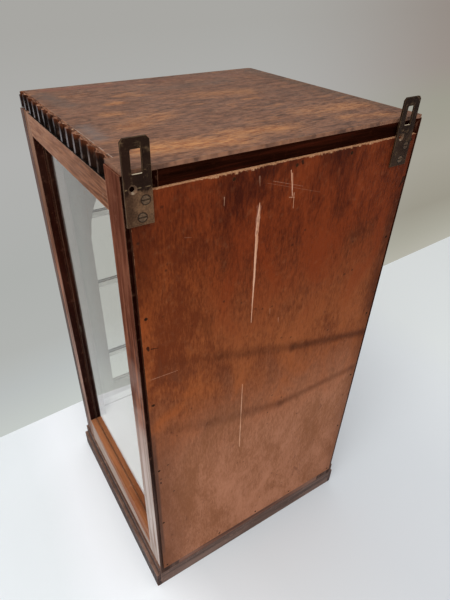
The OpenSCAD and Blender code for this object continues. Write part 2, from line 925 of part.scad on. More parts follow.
base_front();
base_rear();
base_side(-1);  // base_left
base_side(1);  // base_right
plinth_front();
plinth_side(-1);  // plinth_left
plinth_side(1);  // plinth_right
rear_post(-1);  // rear_post_left
rear_post(1);  // rear_post_right
front_post(-1);  // front_post_left
front_post(1);  // front_post_right
side_top_rail(-1);  // side_top_rail_left
side_top_rail(1);  // side_top_rail_right
side_bottom_rail(-1);  // side_bottom_rail_left
side_bottom_rail(1);  // side_bottom_rail_right
rear_top_rail();
rear_bottom_rail();
front_top_rail();
front_bottom_rail();
side_glass(-1);  // side_glass_left
side_glass(1);  // side_glass_right
floor_board();
top_board();
frieze_front();
frieze_left();
frieze_right();
back_panel();
back_panel_pins();
hanger(left_hanger);  // hanger_left
hanger(right_hanger);  // hanger_right
hanger_screws();
door_hinge_stile();
door_lock_stile();
door_top_rail();
door_bottom_rail();
glazing_bar(lower_bar_z);  // glazing_bar_lower
glazing_bar(middle_bar_z);  // glazing_bar_middle
glazing_bar(upper_bar_z);  // glazing_bar_upper
door_pane(door_sill_z - door_groove_d, lower_bar_z - bar_web / 2 - pane_clear);  // door_pane_bottom
pane_between(lower_bar_z, middle_bar_z);  // door_pane_lower
pane_between(middle_bar_z, upper_bar_z);  // door_pane_upper
door_pane(upper_bar_z + bar_web / 2, crown_z + door_groove_d - pane_clear);  // door_pane_top
door_knob();
knob_screw();
strike_plate();
strike_screws();
magnet_catch();
catch_screws();
frame_leaf(hinge_upper_z);  // hinge_frame_leaf_upper
frame_leaf(hinge_lower_z);  // hinge_frame_leaf_lower
door_leaf(hinge_upper_z);  // hinge_door_leaf_upper
door_leaf(hinge_lower_z);  // hinge_door_leaf_lower
hinge_pin(hinge_upper_z);  // hinge_pin_upper
hinge_pin(hinge_lower_z);  // hinge_pin_lower
hinge_frame_screws();
hinge_door_screws();
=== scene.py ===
import math

import bpy
import numpy as np
from mathutils import Matrix, Vector


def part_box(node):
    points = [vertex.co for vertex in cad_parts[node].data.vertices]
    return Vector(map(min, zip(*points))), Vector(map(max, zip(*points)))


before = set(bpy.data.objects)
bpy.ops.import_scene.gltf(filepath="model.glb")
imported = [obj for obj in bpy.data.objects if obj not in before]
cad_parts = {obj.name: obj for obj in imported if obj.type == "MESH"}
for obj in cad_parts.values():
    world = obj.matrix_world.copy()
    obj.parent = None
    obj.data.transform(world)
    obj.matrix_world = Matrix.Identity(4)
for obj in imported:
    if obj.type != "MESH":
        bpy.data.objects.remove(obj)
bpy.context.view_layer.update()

# ---- The view ----
# The cabinet is seen from behind and above, past its right rear post, through a short lens that is
# held a little tilted. The place, the turn and the lens come from the cabinet's own corners.
eye = Vector((0.2487, 0.4137, 0.6662))
azimuth, elevation, tilt = (math.radians(a) for a in (147.92, 35.78, 0.77))
ahead = Vector((-math.sin(azimuth) * math.cos(elevation), math.cos(azimuth) * math.cos(elevation),
                -math.sin(elevation)))
level_right = Vector((math.cos(azimuth), math.sin(azimuth), 0))
level_up = level_right.cross(ahead)
right = level_right * math.cos(tilt) + level_up * math.sin(tilt)
up = right.cross(ahead)

camera = bpy.data.objects.new("camera", bpy.data.cameras.new("camera"))
bpy.context.scene.collection.objects.link(camera)
camera.matrix_world = Matrix((
    (right.x, up.x, -ahead.x, eye.x),
    (right.y, up.y, -ahead.y, eye.y),
    (right.z, up.z, -ahead.z, eye.z),
    (0, 0, 0, 1),
))
camera.data.sensor_width = 36
camera.data.lens = 28.17
camera.data.shift_x = 0.0243
camera.data.shift_y = 0.006
camera.data.clip_start = 0.02
bpy.context.scene.camera = camera
bpy.context.scene.view_settings.view_transform = "Standard"


# ---- The room ----
# A pale floor and a pale grey wall behind the cabinet's door, lit by an even sky and one broad
# soft lamp above the camera's left. The wall shows only from its front, and keeps no light off.
# The floor's colour holds a painted shadow beside the cabinet and a painted light band past its
# other side; the wall's colour is painted shade, and it shows brighter in reflections.
def tone(code):
    """A colour written as six hex digits of sRGB, turned into the linear values that shaders take:
    each share is divided by 12.92 near black and raised to the power 2.4 above that."""
    share = np.array([int(code[i:i + 2], 16) for i in (1, 3, 5)]) / 255
    linear = np.where(share <= 0.04045, share / 12.92, ((share + 0.055) / 1.055) ** 2.4)
    return (*linear.tolist(), 1.0)


def add(tree, kind, inputs=None, **options):
    """One shader node with its options set. Each input is linked if a socket is given for it, and
    otherwise takes the value."""
    made = tree.nodes.new("ShaderNode" + kind)
    for name, value in options.items():
        setattr(made, name, value)
    for key, value in (inputs or {}).items():
        if isinstance(value, bpy.types.NodeSocket):
            tree.links.new(value, made.inputs[key])
        else:
            made.inputs[key].default_value = value
    return made


def calc(tree, operation, *values):
    """Math on sockets or numbers: one node for the first two, and one more for each value after
    them, which is taken together with the result so far."""
    made = add(tree, "Math", dict(enumerate(values[:2])), operation=operation)
    for value in values[2:]:
        made = add(tree, "Math", {0: made.outputs[0], 1: value}, operation=operation)
    return made.outputs[0]


def plus(tree, *values):
    """The sum of the values."""
    return calc(tree, "ADD", *values)


def minus(tree, *values):
    """The first value less the others."""
    return calc(tree, "SUBTRACT", *values)


def times(tree, *values):
    """The product of the values."""
    return calc(tree, "MULTIPLY", *values)


def most(tree, *values):
    """The greatest of the values."""
    return calc(tree, "MAXIMUM", *values)


def slide(tree, value, low, high, to_low=0.0, to_high=1.0, smooth=True):
    """A value's place between low and high, taken over to a place between to_low and to_high. It
    eases in and out unless smooth is off."""
    return add(tree, "MapRange", {0: value, 1: low, 2: high, 3: to_low, 4: to_high},
               interpolation_type="SMOOTHSTEP" if smooth else "LINEAR").outputs[0]


def blend(tree, share, first, second, way="MIX"):
    """A colour mix: the share goes from the first colour to the second. Each is a socket or the
    code of a tone."""
    first, second = (tone(colour) if isinstance(colour, str) else colour for colour in (first, second))
    made = add(tree, "Mix", {0: share, 6: first, 7: second}, data_type="RGBA", blend_type=way)
    return made.outputs[2]


def ramp(tree, value, *stops):
    """Colours along a value: each stop is a place from 0 to 1 and the code of a tone."""
    made = add(tree, "ValToRGB", {0: value})
    first, last = made.color_ramp.elements
    first.position, last.position = stops[0][0], stops[-1][0]
    first.color, last.color = tone(stops[0][1]), tone(stops[-1][1])
    for spot, code in stops[1:-1]:
        made.color_ramp.elements.new(spot).color = tone(code)
    return made.outputs[0]


def start(name):
    """A new material with its tree and output node, and the object's own coordinates in metres."""
    material = bpy.data.materials.new(name)
    material.use_nodes = True
    tree = material.node_tree
    tree.nodes.clear()
    return material, tree, add(tree, "OutputMaterial"), add(tree, "TexCoord").outputs["Object"]


def split(tree, vector):
    """The three parts of a vector."""
    return add(tree, "SeparateXYZ", {0: vector}).outputs


def seen_rays(tree, path):
    """1 for rays that carry the picture: straight, mirrored, or let through a pane."""
    return most(tree, path["Is Camera Ray"],
                most(tree, path["Is Glossy Ray"], path["Is Transmission Ray"]))


def flat_sheet(name, corners, material):
    """A flat sheet between four corners in metres, given in turn."""
    mesh = bpy.data.meshes.new(name)
    mesh.from_pydata(corners, [], [(0, 1, 2, 3)])
    mesh.materials.append(material)
    sheet = bpy.data.objects.new(name, mesh)
    bpy.context.scene.collection.objects.link(sheet)


floor_paint, tree, out, place = start("pale_floor")
mottle = add(tree, "TexNoise", {"Vector": place, "Scale": 3.0, "Detail": 3.0}).outputs[0]
across = plus(tree, split(tree, place)[0], times(tree, minus(tree, mottle, 0.5), 0.08))
# Darker to the right of the view, most beside and behind the cabinet: a painted shadow of the cabinet.
# The bright band next to the cabinet's left side in the view is painted light that fills its contact
# shade.
shade = ramp(tree, slide(tree, across, -0.6, 0.3, smooth=False), (0.0, "#e6eaea"), (0.12, "#e2e6e9"),
             (0.33, "#d7dbdf"), (0.5, "#d2d6da"), (0.67, "#d6dadd"), (0.76, "#dde1e4"),
             (0.82, "#f1f4f7"), (0.85, "#f6f9fc"), (0.89, "#f4f7fb"), (0.95, "#e8edf0"),
             (1.0, "#e6ebee"))
speck = add(tree, "TexNoise", {"Vector": place, "Scale": 900.0, "Detail": 1.0}).outputs[0]
shade = blend(tree, times(tree, slide(tree, speck, 0.5, 0.8), 0.05), shade, "#b9bdc2")
relief = add(tree, "Bump", {"Height": speck, "Distance": 0.0001, "Strength": 0.2}).outputs[0]
skin = add(tree, "BsdfPrincipled", {"Base Color": shade, "Roughness": 0.6, "Normal": relief,
                                    "Specular IOR Level": 0.2})
tree.links.new(skin.outputs[0], out.inputs[0])
floor_end, floor_z = 4, -0.0002
flat_sheet("floor", [(-floor_end, -floor_end, floor_z), (floor_end, -floor_end, floor_z),
                     (floor_end, floor_end, floor_z), (-floor_end, floor_end, floor_z)], floor_paint)

wall_paint, tree, out, place = start("pale_wall")
x, _, z = split(tree, place)
# The wall's colour is painted shade: darker upwards, and darker again to the right of the view.
rise = slide(tree, z, 0.0, 0.6, smooth=False)
left = ramp(tree, rise, (0.0, "#c5cac6"), (0.15, "#b9bdbc"), (0.28, "#b1b3b0"), (0.5, "#adafac"),
            (0.78, "#b0b0ae"), (1.0, "#a8a7a3"))
shaded_right_side = ramp(tree, rise, (0.0, "#b4b2a6"), (0.1, "#a9a79a"), (0.25, "#9b978a"), (0.5, "#a5a195"),
                  (0.7, "#9d9b8e"), (0.84, "#999089"), (1.0, "#948b84"))
paint = blend(tree, slide(tree, x, -0.2, -0.85), left, shaded_right_side)
path = add(tree, "LightPath").outputs
# Painted reflection: the wall shows about a fifth brighter in reflections, except at the far left of the
# view.
painted_reflection_boost = times(tree, path["Is Glossy Ray"], slide(tree, x, 0.23, 0.175, 0.0, 0.22))
glow = add(tree, "Emission", {0: paint, 1: plus(tree, painted_reflection_boost, 1.0)})
front = minus(tree, 1.0, add(tree, "NewGeometry").outputs["Backfacing"])
clear = add(tree, "BsdfTransparent")
mixed = add(tree, "MixShader", {0: times(tree, seen_rays(tree, path), front), 1: clear.outputs[0],
                                2: glow.outputs[0]})
tree.links.new(mixed.outputs[0], out.inputs[0])


def wall_line(x):
    """The y of the wall's foot at x: it runs straight across the floor, a little askew."""
    return 0.057 * x - 0.2342


wall_end = 2.2
flat_sheet("wall", [(-wall_end, wall_line(-wall_end), 0), (-wall_end, wall_line(-wall_end), wall_end),
                    (wall_end, wall_line(wall_end), wall_end), (wall_end, wall_line(wall_end), 0)],
           wall_paint)

sky = bpy.data.worlds.new("sky")
bpy.context.scene.world = sky
sky.use_nodes = True
tree = sky.node_tree
tree.nodes.clear()
even_light = add(tree, "Background", {0: (1.0, 1.0, 1.0, 1.0), 1: 0.66})
backdrop = add(tree, "Background", {0: tone("#b2b5b4"), 1: 1.0})
mixed = add(tree, "MixShader", {0: seen_rays(tree, add(tree, "LightPath").outputs),
                                1: even_light.outputs[0], 2: backdrop.outputs[0]})
tree.links.new(mixed.outputs[0], add(tree, "OutputWorld").inputs[0])

lamp = bpy.data.objects.new("soft_lamp", bpy.data.lights.new("soft_lamp", "AREA"))
bpy.context.scene.collection.objects.link(lamp)
lamp.data.energy = 33
lamp.data.size = 1.7
lamp.location = (1.0, 1.0, 1.9)
cabinet_middle = Vector((0, 0, 0.3))
lamp.rotation_euler = (cabinet_middle - lamp.location).to_track_quat("-Z", "Y").to_euler()


# ---- Base frame and plinth ----
# Four softwood boards butted under the carcass, faced with a two-step hardwood moulding that is
# mitred at the front corners. Dark stain, scuffed pale along the steps where it has been knocked.
# The steps' upper faces are paler, from dust and as painted light from above.
def group(name, inputs, outputs):
    """An empty node group with its sockets, and its input and output nodes."""
    made = bpy.data.node_groups.new(name, "ShaderNodeTree")
    for label, kind, value in inputs:
        socket = made.interface.new_socket(name=label, in_out="INPUT", socket_type="NodeSocket" + kind)
        if value is not None:
            socket.default_value = value
    for label, kind in outputs:
        made.interface.new_socket(name=label, in_out="OUTPUT", socket_type="NodeSocket" + kind)
    return made, made.nodes.new("NodeGroupInput").outputs, made.nodes.new("NodeGroupOutput").inputs


def use(tree, made, inputs):
    """A group placed in a material; returns its output sockets."""
    return add(tree, "Group", inputs, node_tree=made).outputs


def vector(tree, operation, first, second):
    """Math on two vectors, or on a vector and the number that scales it. The dot product and the
    distance are numbers."""
    made = add(tree, "VectorMath", {0: first, "Scale" if operation == "SCALE" else 1: second},
               operation=operation)
    return made.outputs["Value" if operation in ("DOT_PRODUCT", "DISTANCE") else "Vector"]


def noise(tree, place, stretch, detail=3.0, bend=0.0):
    """Noise on coordinates in metres, stretched by so many features per metre along each axis."""
    return add(tree, "TexNoise", {"Vector": vector(tree, "MULTIPLY", place, stretch), "Scale": 1.0,
                                  "Detail": detail, "Roughness": 0.55, "Distortion": bend}).outputs[0]


wood_figure, given, result = group(
    "wood_figure",
    [("Grain Place", "Vector", None), ("Width", "Float", 1.0)],
    [("Figure", "Float"), ("Ribbon", "Float"), ("Fibre", "Float"), ("Pores", "Float")])
tree = wood_figure
wide = vector(tree, "SCALE", given["Grain Place"], given["Width"])
for label, stretch, detail, bend, low, high in (
        ("Figure", (3.2, 30.0, 30.0), 4.0, 0.9, 0.3, 0.72),
        ("Ribbon", (8.0, 150.0, 150.0), 4.0, 0.5, 0.32, 0.68),
        ("Fibre", (38.0, 1200.0, 1200.0), 2.0, 0.0, 0.3, 0.7),
        ("Pores", (130.0, 2300.0, 2300.0), 1.0, 0.0, 0.6, 0.72)):
    tree.links.new(slide(tree, noise(tree, wide, stretch, detail, bend), low, high), result[label])

rubbed_edges, given, result = group(
    "rubbed_edges",
    [("Place", "Vector", None), ("Reach", "Float", 0.0012), ("Breaks", "Float", 0.5)],
    [("Rubbed", "Float"), ("Eased", "Vector")])
tree = rubbed_edges
rounded = add(tree, "Bevel", {"Radius": given["Reach"]}, samples=6).outputs[0]
facing = add(tree, "NewGeometry").outputs["True Normal"]
turned = minus(tree, 1.0, vector(tree, "DOT_PRODUCT", rounded, facing))
gaps = minus(tree, noise(tree, given["Place"], (160.0, 160.0, 160.0), 4.0), 0.5)
gaps = times(tree, gaps, given["Breaks"])
tree.links.new(slide(tree, plus(tree, turned, gaps), 0.03, 0.22), result["Rubbed"])
eased = add(tree, "Bevel", {"Radius": 0.0005}, samples=4).outputs[0]
tree.links.new(eased, result["Eased"])

handling, given, result = group(
    "handling",
    [("Place", "Vector", None), ("Scale", "Float", 1.0)],
    [("Blotches", "Float"), ("Specks", "Float"), ("Scratches", "Float")])
tree = handling
spot = vector(tree, "SCALE", given["Place"], given["Scale"])
clouds = noise(tree, spot, (11.0, 11.0, 11.0), 5.0, 0.4)
tree.links.new(slide(tree, clouds, 0.32, 0.68), result["Blotches"])
dots = add(tree, "TexVoronoi", {"Vector": spot, "Scale": 85.0}, feature="F1").outputs["Distance"]
small = slide(tree, noise(tree, spot, (23.0, 23.0, 23.0), 1.0), 0.5, 0.64)
tree.links.new(times(tree, slide(tree, dots, 0.16, 0.05), small), result["Specks"])
lines = []
for stretch in ((9.0, 110.0, 70.0), (90.0, 12.0, 150.0), (60.0, 130.0, 8.0)):
    ridge = minus(tree, noise(tree, spot, stretch, 1.0, 0.3), 0.5)
    lines.append(slide(tree, calc(tree, "ABSOLUTE", ridge), 0.006, 0.0))
kept = slide(tree, noise(tree, spot, (31.0, 31.0, 31.0), 2.0), 0.55, 0.66)
tree.links.new(times(tree, most(tree, *lines), kept), result["Scratches"])


def along(tree, place, grain):
    """The place with its parts put in turn so that the grain runs along the first one."""
    x, y, z = split(tree, place)
    order = {"x": (x, y, z), "y": (y, z, x), "z": (z, x, y)}[grain]
    return add(tree, "CombineXYZ", dict(enumerate(order))).outputs[0]


def wood(name, grain, tones, rubbed, reach=0.0012, breaks=0.5, wear=0.7, width=1.0, dull=0.5,
         marks=None, level=0.2, streak=0.5, cuts=0.07, mottle=0.25):
    """Stained wood. Its figure picks a colour from three tones, pores and specks darken it,
    scratches and rubbed edges take the rubbed tone, and the figure gives roughness and relief.
    marks, if given, is a function that adds the piece's own marks to the colour."""
    material, tree, out, place = start(name)
    figure = use(tree, wood_figure, {"Grain Place": along(tree, place, grain), "Width": width})
    used = use(tree, handling, {"Place": place, "Scale": 1.0})
    edge = use(tree, rubbed_edges, {"Place": place, "Reach": reach, "Breaks": breaks})
    mixed = plus(tree, times(tree, figure["Figure"], 1 - streak), times(tree, figure["Ribbon"], streak))
    mixed = plus(tree, times(tree, mixed, 0.85), times(tree, figure["Fibre"], 0.15))
    shade = ramp(tree, mixed, (0.12, tones[0]), (0.5, tones[1]), (0.9, tones[2]))
    shade = blend(tree, times(tree, used["Blotches"], mottle), shade, tones[0])
    shade = blend(tree, times(tree, figure["Pores"], 0.35), shade, tones[0], "MULTIPLY")
    if marks:
        shade = marks(tree, place, shade, figure, used)
    shade = blend(tree, times(tree, used["Specks"], 0.6), shade, "#1d120d")
    shade = blend(tree, times(tree, used["Scratches"], cuts), shade, rubbed)
    shade = blend(tree, times(tree, edge["Rubbed"], wear), shade, rubbed)
    rough = plus(tree, dull, times(tree, used["Blotches"], 0.14), times(tree, figure["Fibre"], 0.06))
    height = minus(tree, times(tree, figure["Fibre"], 0.5), figure["Pores"], used["Scratches"])
    relief = add(tree, "Bump", {"Height": height, "Distance": 0.00025, "Strength": 0.5,
                                "Normal": edge["Eased"]}).outputs[0]
    skin = add(tree, "BsdfPrincipled", {"Base Color": shade, "Roughness": rough, "Normal": relief,
                                        "Specular IOR Level": level})
    tree.links.new(skin.outputs[0], out.inputs[0])
    return material


def finish(material, *names):
    """Gives CAD nodes their finish, in their own material slots."""
    for name in names:
        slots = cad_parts[name].data.materials
        slots.clear()
        slots.append(material)


def face_turn(tree):
    """The three parts of the direction that a face is turned to."""
    return split(tree, add(tree, "NewGeometry").outputs["True Normal"])


def step_dust_and_light(tree, place, shade, figure, used):
    """Paler upper faces on the steps, in short broken lengths: rubbing and dust, and painted light from
    above.
    """
    upward = slide(tree, face_turn(tree)[2], 0.5, 0.9)
    kept = slide(tree, noise(tree, place, (35.0, 35.0, 35.0), 4.0), 0.3, 0.55, 0.45, 1.0)
    pale = blend(tree, figure["Ribbon"], "#5f4236", "#8b6c5d")
    return blend(tree, times(tree, upward, kept), shade, pale)


plinth_tones = ("#24120d", "#43281f", "#60443a")
finish(wood("plinth_across", "x", plinth_tones, "#a9846f", 0.0010, 0.6, marks=step_dust_and_light), "plinth_front")
finish(wood("plinth_deep", "y", plinth_tones, "#a9846f", 0.0010, 0.6, marks=step_dust_and_light),
       "plinth_left", "plinth_right")
base_tones = ("#38241c", "#5a4238", "#755a4f")
finish(wood("base_across", "x", base_tones, "#8a6a5a", 0.0012, 0.7), "base_front", "base_rear")
finish(wood("base_deep", "y", base_tones, "#8a6a5a", 0.0012, 0.7), "base_left", "base_right")


# ---- Corner posts ----
# Straight-grained hardwood, grooved for the side panes. The stain has faded to a pinkish grey low
# down, paler still there by a painted reflection of the pale floor, and stays red-brown under the
# cornice; the faces turned to the glass have kept it dark.
stroke, given, result = group(
    "stroke",
    [("Place", "Vector", None), ("Start", "Vector", None), ("End", "Vector", None),
     ("Width", "Float", 0.001), ("End Width", "Float", 0.001), ("Ragged", "Float", 0.5),
     ("Soft", "Float", 0.4)],
    [("Mark", "Float")])
tree = stroke
run = vector(tree, "SUBTRACT", given["End"], given["Start"])
gone = vector(tree, "SUBTRACT", given["Place"], given["Start"])
share = calc(tree, "DIVIDE", vector(tree, "DOT_PRODUCT", gone, run),
             vector(tree, "DOT_PRODUCT", run, run))
share = add(tree, "Clamp", {0: share}).outputs[0]
off = vector(tree, "DISTANCE", gone, vector(tree, "SCALE", run, share))
width = add(tree, "Mix", {0: share, 2: given["Width"], 3: given["End Width"]},
            data_type="FLOAT").outputs[0]
shake = minus(tree, noise(tree, given["Place"], (420.0, 420.0, 130.0), 3.0), 0.5)
shake = times(tree, shake, times(tree, given["Ragged"], 4.0))
width = times(tree, width, plus(tree, 1.0, shake))
inside = times(tree, width, minus(tree, 1.0, given["Soft"]))
tree.links.new(slide(tree, off, inside, width, 1.0, 0.0), result["Mark"])


def mark(tree, place, first, last, width, end_width, ragged=0.4, soft=0.5):
    """One straight mark from first to last, in metres, its width running from one to the other."""
    return use(tree, stroke, {"Place": place, "Start": first, "End": last, "Width": width,
                              "End Width": end_width, "Ragged": ragged, "Soft": soft})["Mark"]


def above(tree, value, level):
    """1 where the value is over the level, 0 elsewhere."""
    return calc(tree, "GREATER_THAN", value, level)


def below(tree, value, level):
    """1 where the value is under the level, 0 elsewhere."""
    return calc(tree, "LESS_THAN", value, level)


rear_post_front, rear_post_rear = (corner.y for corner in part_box("rear_post_right"))
front_post_front, front_post_rear = (corner.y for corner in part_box("front_post_right"))
side_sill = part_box("side_bottom_rail_right")[1].z
upper_rail_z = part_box("side_top_rail_right")[0].z
pane_inside, pane_outside = (corner.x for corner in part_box("side_glass_right"))
paint_end = 0.1297  # how far from the middle the paint inside the case goes
brushed = 0.0006  # how far the paint's edge wanders
skim = 0.0002  # how far a limit lies from the face that it picks out


def pale_paint(tree, figure, used):
    """Old grey-white paint, rubbed and yellowed in patches, with the grain showing through."""
    worn = blend(tree, used["Blotches"], "#bdb8b4", "#a8a19c")
    return blend(tree, times(tree, figure["Pores"], 0.4), worn, "#a79f92")


def painted_within(tree, place, shade, figure, used):
    """Paint on every face inside the case, up to a line just short of the side panes: pale in the
    rear half and a brownish grey in the front half."""
    x, y, z = split(tree, place)
    wide = plus(tree, calc(tree, "ABSOLUTE", x), times(tree, used["Blotches"], brushed))
    share = times(tree, below(tree, wide, paint_end), above(tree, y, front_post_front + skim),
                  below(tree, y, rear_post_rear - 0.0003), above(tree, z, side_sill + skim),
                  below(tree, z, upper_rail_z + 0.02))
    paint = blend(tree, above(tree, y, 0.0), "#7d7370", pale_paint(tree, figure, used))
    return blend(tree, share, shade, paint)


def post_fade_and_reflection(tree, place, shade, figure, used):
    """Fades the outer faces towards the ground, to a pale grey that is partly a painted reflection of
    the pale floor, leaves the faces turned to the glass and the back dark, and rubs a small pale spot
    on the right front post."""
    x, y, z = split(tree, place)
    in_front = below(tree, y, 0.0)
    tan = blend(tree, figure["Ribbon"], "#70503f", "#a58471")
    high = slide(tree, z, 0.36, 0.52, 0.3, 0.85)
    shade = blend(tree, times(tree, in_front, high), shade, tan)
    uneven = plus(tree, times(tree, used["Blotches"], 0.09), times(tree, figure["Ribbon"], 0.05))
    level = plus(tree, z, uneven)
    patchy = times(tree, slide(tree, level, 0.52, 0.4), slide(tree, figure["Ribbon"], 0.45, 0.8))
    shade = blend(tree, times(tree, patchy, 0.6), shade, "#a06a52")
    # Faded stain with a painted reflection of the pale floor in the lacquer, strongest low down.
    faded_with_reflection = blend(tree, figure["Ribbon"], "#9b857b", "#c4b8b2")
    share = minus(tree, 0.95, times(tree, in_front, 0.6))
    shade = blend(tree, times(tree, slide(tree, level, 0.46, 0.24), share), shade, faded_with_reflection)
    seam = slide(tree, y, front_post_front + 0.0016, front_post_front + 0.0006)
    shade = blend(tree, times(tree, seam, 0.85), shade, "#22110c")

    to_glass = times(tree, below(tree, y, rear_post_front + skim),
                     slide(tree, calc(tree, "ABSOLUTE", face_turn(tree)[1]), 0.5, 0.9))
    back = above(tree, y, rear_post_rear - skim)
    dark = blend(tree, figure["Figure"], "#0c0100", "#1f0602")
    maroon = blend(tree, figure["Figure"], "#140201", "#280a05")
    outside = above(tree, calc(tree, "ABSOLUTE", x), pane_outside - skim)
    dark = blend(tree, times(tree, outside, to_glass), dark, maroon)
    greyed = blend(tree, figure["Ribbon"], "#3a2a25", "#57443d")
    dark = blend(tree, times(tree, back, slide(tree, z, 0.28, 0.12)), dark, greyed)
    shade = blend(tree, times(tree, most(tree, to_glass, back), 0.97), shade, dark)
    shade = painted_within(tree, place, shade, figure, used)
    spot = mark(tree, place, (0.1345, front_post_rear, 0.270), (0.1338, front_post_rear, 0.262),
                0.0036, 0.003, 0.5, 0.6)
    return blend(tree, times(tree, spot, 0.6), shade, "#8f8276")


finish(wood("post_wood", "z", ("#3a1c12", "#613729", "#83533e"), "#a07058", marks=post_fade_and_reflection,
            streak=0.6, wear=0.4, level=0.0),
       "rear_post_left", "rear_post_right", "front_post_left", "front_post_right")


# ---- Rails ----
# Side rails with stub tenons in the posts' grooves, and cross rails with short tenons. The side
# rails have faded to a pinkish tan, and the lower one's upper edge is rubbed orange by dusting.
groove_inside = pane_inside - 0.002


def rail_fading(tree, place, shade, figure, used):
    """Warms the bottom rails above a bleached band that widens towards the rear, warms the top
    rails, the rear ends most, and blackens their ledge under the flutes, like the ebonised flutes
    and as painted shade under the board, and the bottom groove."""
    x, y, z = split(tree, place)
    ragged = times(tree, minus(tree, used["Blotches"], 0.5), 0.006)
    edge = plus(tree, slide(tree, y, -0.1, 0.1, side_sill - 0.002, side_sill - 0.026, False), ragged)
    lower = below(tree, z, side_sill + 0.001)
    pale = times(tree, lower, slide(tree, minus(tree, z, edge), 0.001, -0.001))
    bleached = blend(tree, figure["Ribbon"], "#8c7469", "#b3a297")
    warm = blend(tree, figure["Ribbon"], "#74401f", "#a86a44")
    red = slide(tree, noise(tree, place, (30.0, 12.0, 30.0), 3.0), 0.55, 0.7)
    warm = blend(tree, times(tree, red, 0.35), warm, "#8c3a24")
    shade = blend(tree, times(tree, lower, 0.92), shade, warm)
    shade = blend(tree, times(tree, pale, 0.95), shade, bleached)

    fine = slide(tree, noise(tree, place, (500.0, 40.0, 500.0), 4.0, 0.4), 0.36, 0.64)
    upper = above(tree, z, upper_rail_z - 0.001)
    shade = blend(tree, times(tree, upper, 0.5), shade, blend(tree, fine, "#7a4b32", "#ab7958"))
    rear = times(tree, slide(tree, y, -0.06, 0.1), slide(tree, z, 0.5, 0.53))
    shade = blend(tree, times(tree, rear, 0.85), shade, blend(tree, fine, "#55311b", "#845339"))

    # The ledge under the flutes is blackened as the flutes are: ebonised and painted shade.
    ledge = times(tree, slide(tree, face_turn(tree)[2], 0.5, 0.9), above(tree, z, upper_rail_z + 0.01))
    wide = calc(tree, "ABSOLUTE", x)
    groove = times(tree, above(tree, wide, groove_inside - 0.0001),
                   below(tree, wide, pane_outside + 0.0001), below(tree, z, side_sill - 0.0003))
    return blend(tree, most(tree, ledge, groove), shade, "#0a0504")


# The side rails' pale rubbed tone along their arrises is wear and also a painted highlight.
finish(wood("side_rail_wood", "y", ("#74503f", "#936e5e", "#a98678"), "#bd9d8a", marks=rail_fading,
            streak=0.35, wear=0.4, level=0.08),
       "side_top_rail_left", "side_top_rail_right", "side_bottom_rail_left", "side_bottom_rail_right")
finish(wood("cross_rail_wood", "x", ("#0a0301", "#200b05", "#3a150b"), "#4b2214", streak=0.6,
            level=0.0, wear=0.3, marks=painted_within),
       "rear_top_rail", "front_top_rail")
finish(wood("lower_rail_wood", "x", ("#3a2118", "#6b483b", "#8e6857"), "#a07f6d", streak=0.6,
            level=0.04, wear=0.3, marks=painted_within),
       "rear_bottom_rail", "front_bottom_rail")


# ---- Panes and floor ----
# Old clear sheet glass in the side frames and between the door's glazing bars, a little uneven.
# The floor board is notched round the posts, and painted pale like the inside of the door.
def glass(name, colour, wave):
    """Clear glass that lets lamps through: shadow rays pass it by a Transparent shader. Faint
    smears roughen it here and there, and slow waves bend its reflections a little."""
    material, tree, out, place = start(name)
    smear = slide(tree, noise(tree, place, (14.0, 14.0, 5.0), 4.0, 0.6), 0.52, 0.75)
    waves = noise(tree, place, (9.0, 9.0, 4.0), 1.0)
    relief = add(tree, "Bump", {"Height": waves, "Distance": 0.002, "Strength": wave}).outputs[0]
    skin = add(tree, "BsdfPrincipled", {
        "Base Color": tone(colour), "Roughness": times(tree, smear, 0.035),
        "Transmission Weight": 1.0, "IOR": 1.5, "Normal": relief})
    shadow = add(tree, "LightPath").outputs["Is Shadow Ray"]
    pass_by = add(tree, "BsdfTransparent", {0: tone(colour)})
    both = add(tree, "MixShader", {0: shadow, 1: skin.outputs[0], 2: pass_by.outputs[0]})
    tree.links.new(both.outputs[0], out.inputs[0])
    return material


finish(glass("clear_glass", "#f7f6f2", 0.05), "side_glass_left", "side_glass_right",
       "door_pane_bottom", "door_pane_lower", "door_pane_upper", "door_pane_top")

floor_board_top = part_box("floor_board")[1].z


def painted_floor(tree, place, shade, figure, used):
    """Covers the upper face with the inside's paint, cleaner than elsewhere."""
    upper = above(tree, split(tree, place)[2], floor_board_top - skim)
    return blend(tree, upper, shade, blend(tree, 0.85, pale_paint(tree, figure, used), "#f3f6f8"))


finish(wood("floor_board_wood", "x", ("#22100a", "#3b1f15", "#573324"), "#7a5443", streak=0.6,
            marks=painted_floor, wear=0.3), "floor_board")


# ---- Cornice ----
# A thin top board over fluted frieze strips, ebonised inside the flutes and darkened there further
# as painted shade; the right strip's lip stands beside the board, flush with it. The arrises are
# rubbed brown, the lands between the flutes carry a painted pale highlight, and the board is
# weathered brown-grey, orange where the stain has gone, with grey patches of painted sheen.
top_side, top_rear, top_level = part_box("top_board")[1]
frieze_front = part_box("frieze_front")[0].y
lip_width = 0.0055
lip_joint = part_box("frieze_right")[1].x - lip_width


def top_mark(tree, place, first, last, *shape):
    """A mark on the top's upper face, with its ends given as x and y."""
    return mark(tree, place, (*first, top_level), (*last, top_level), *shape)


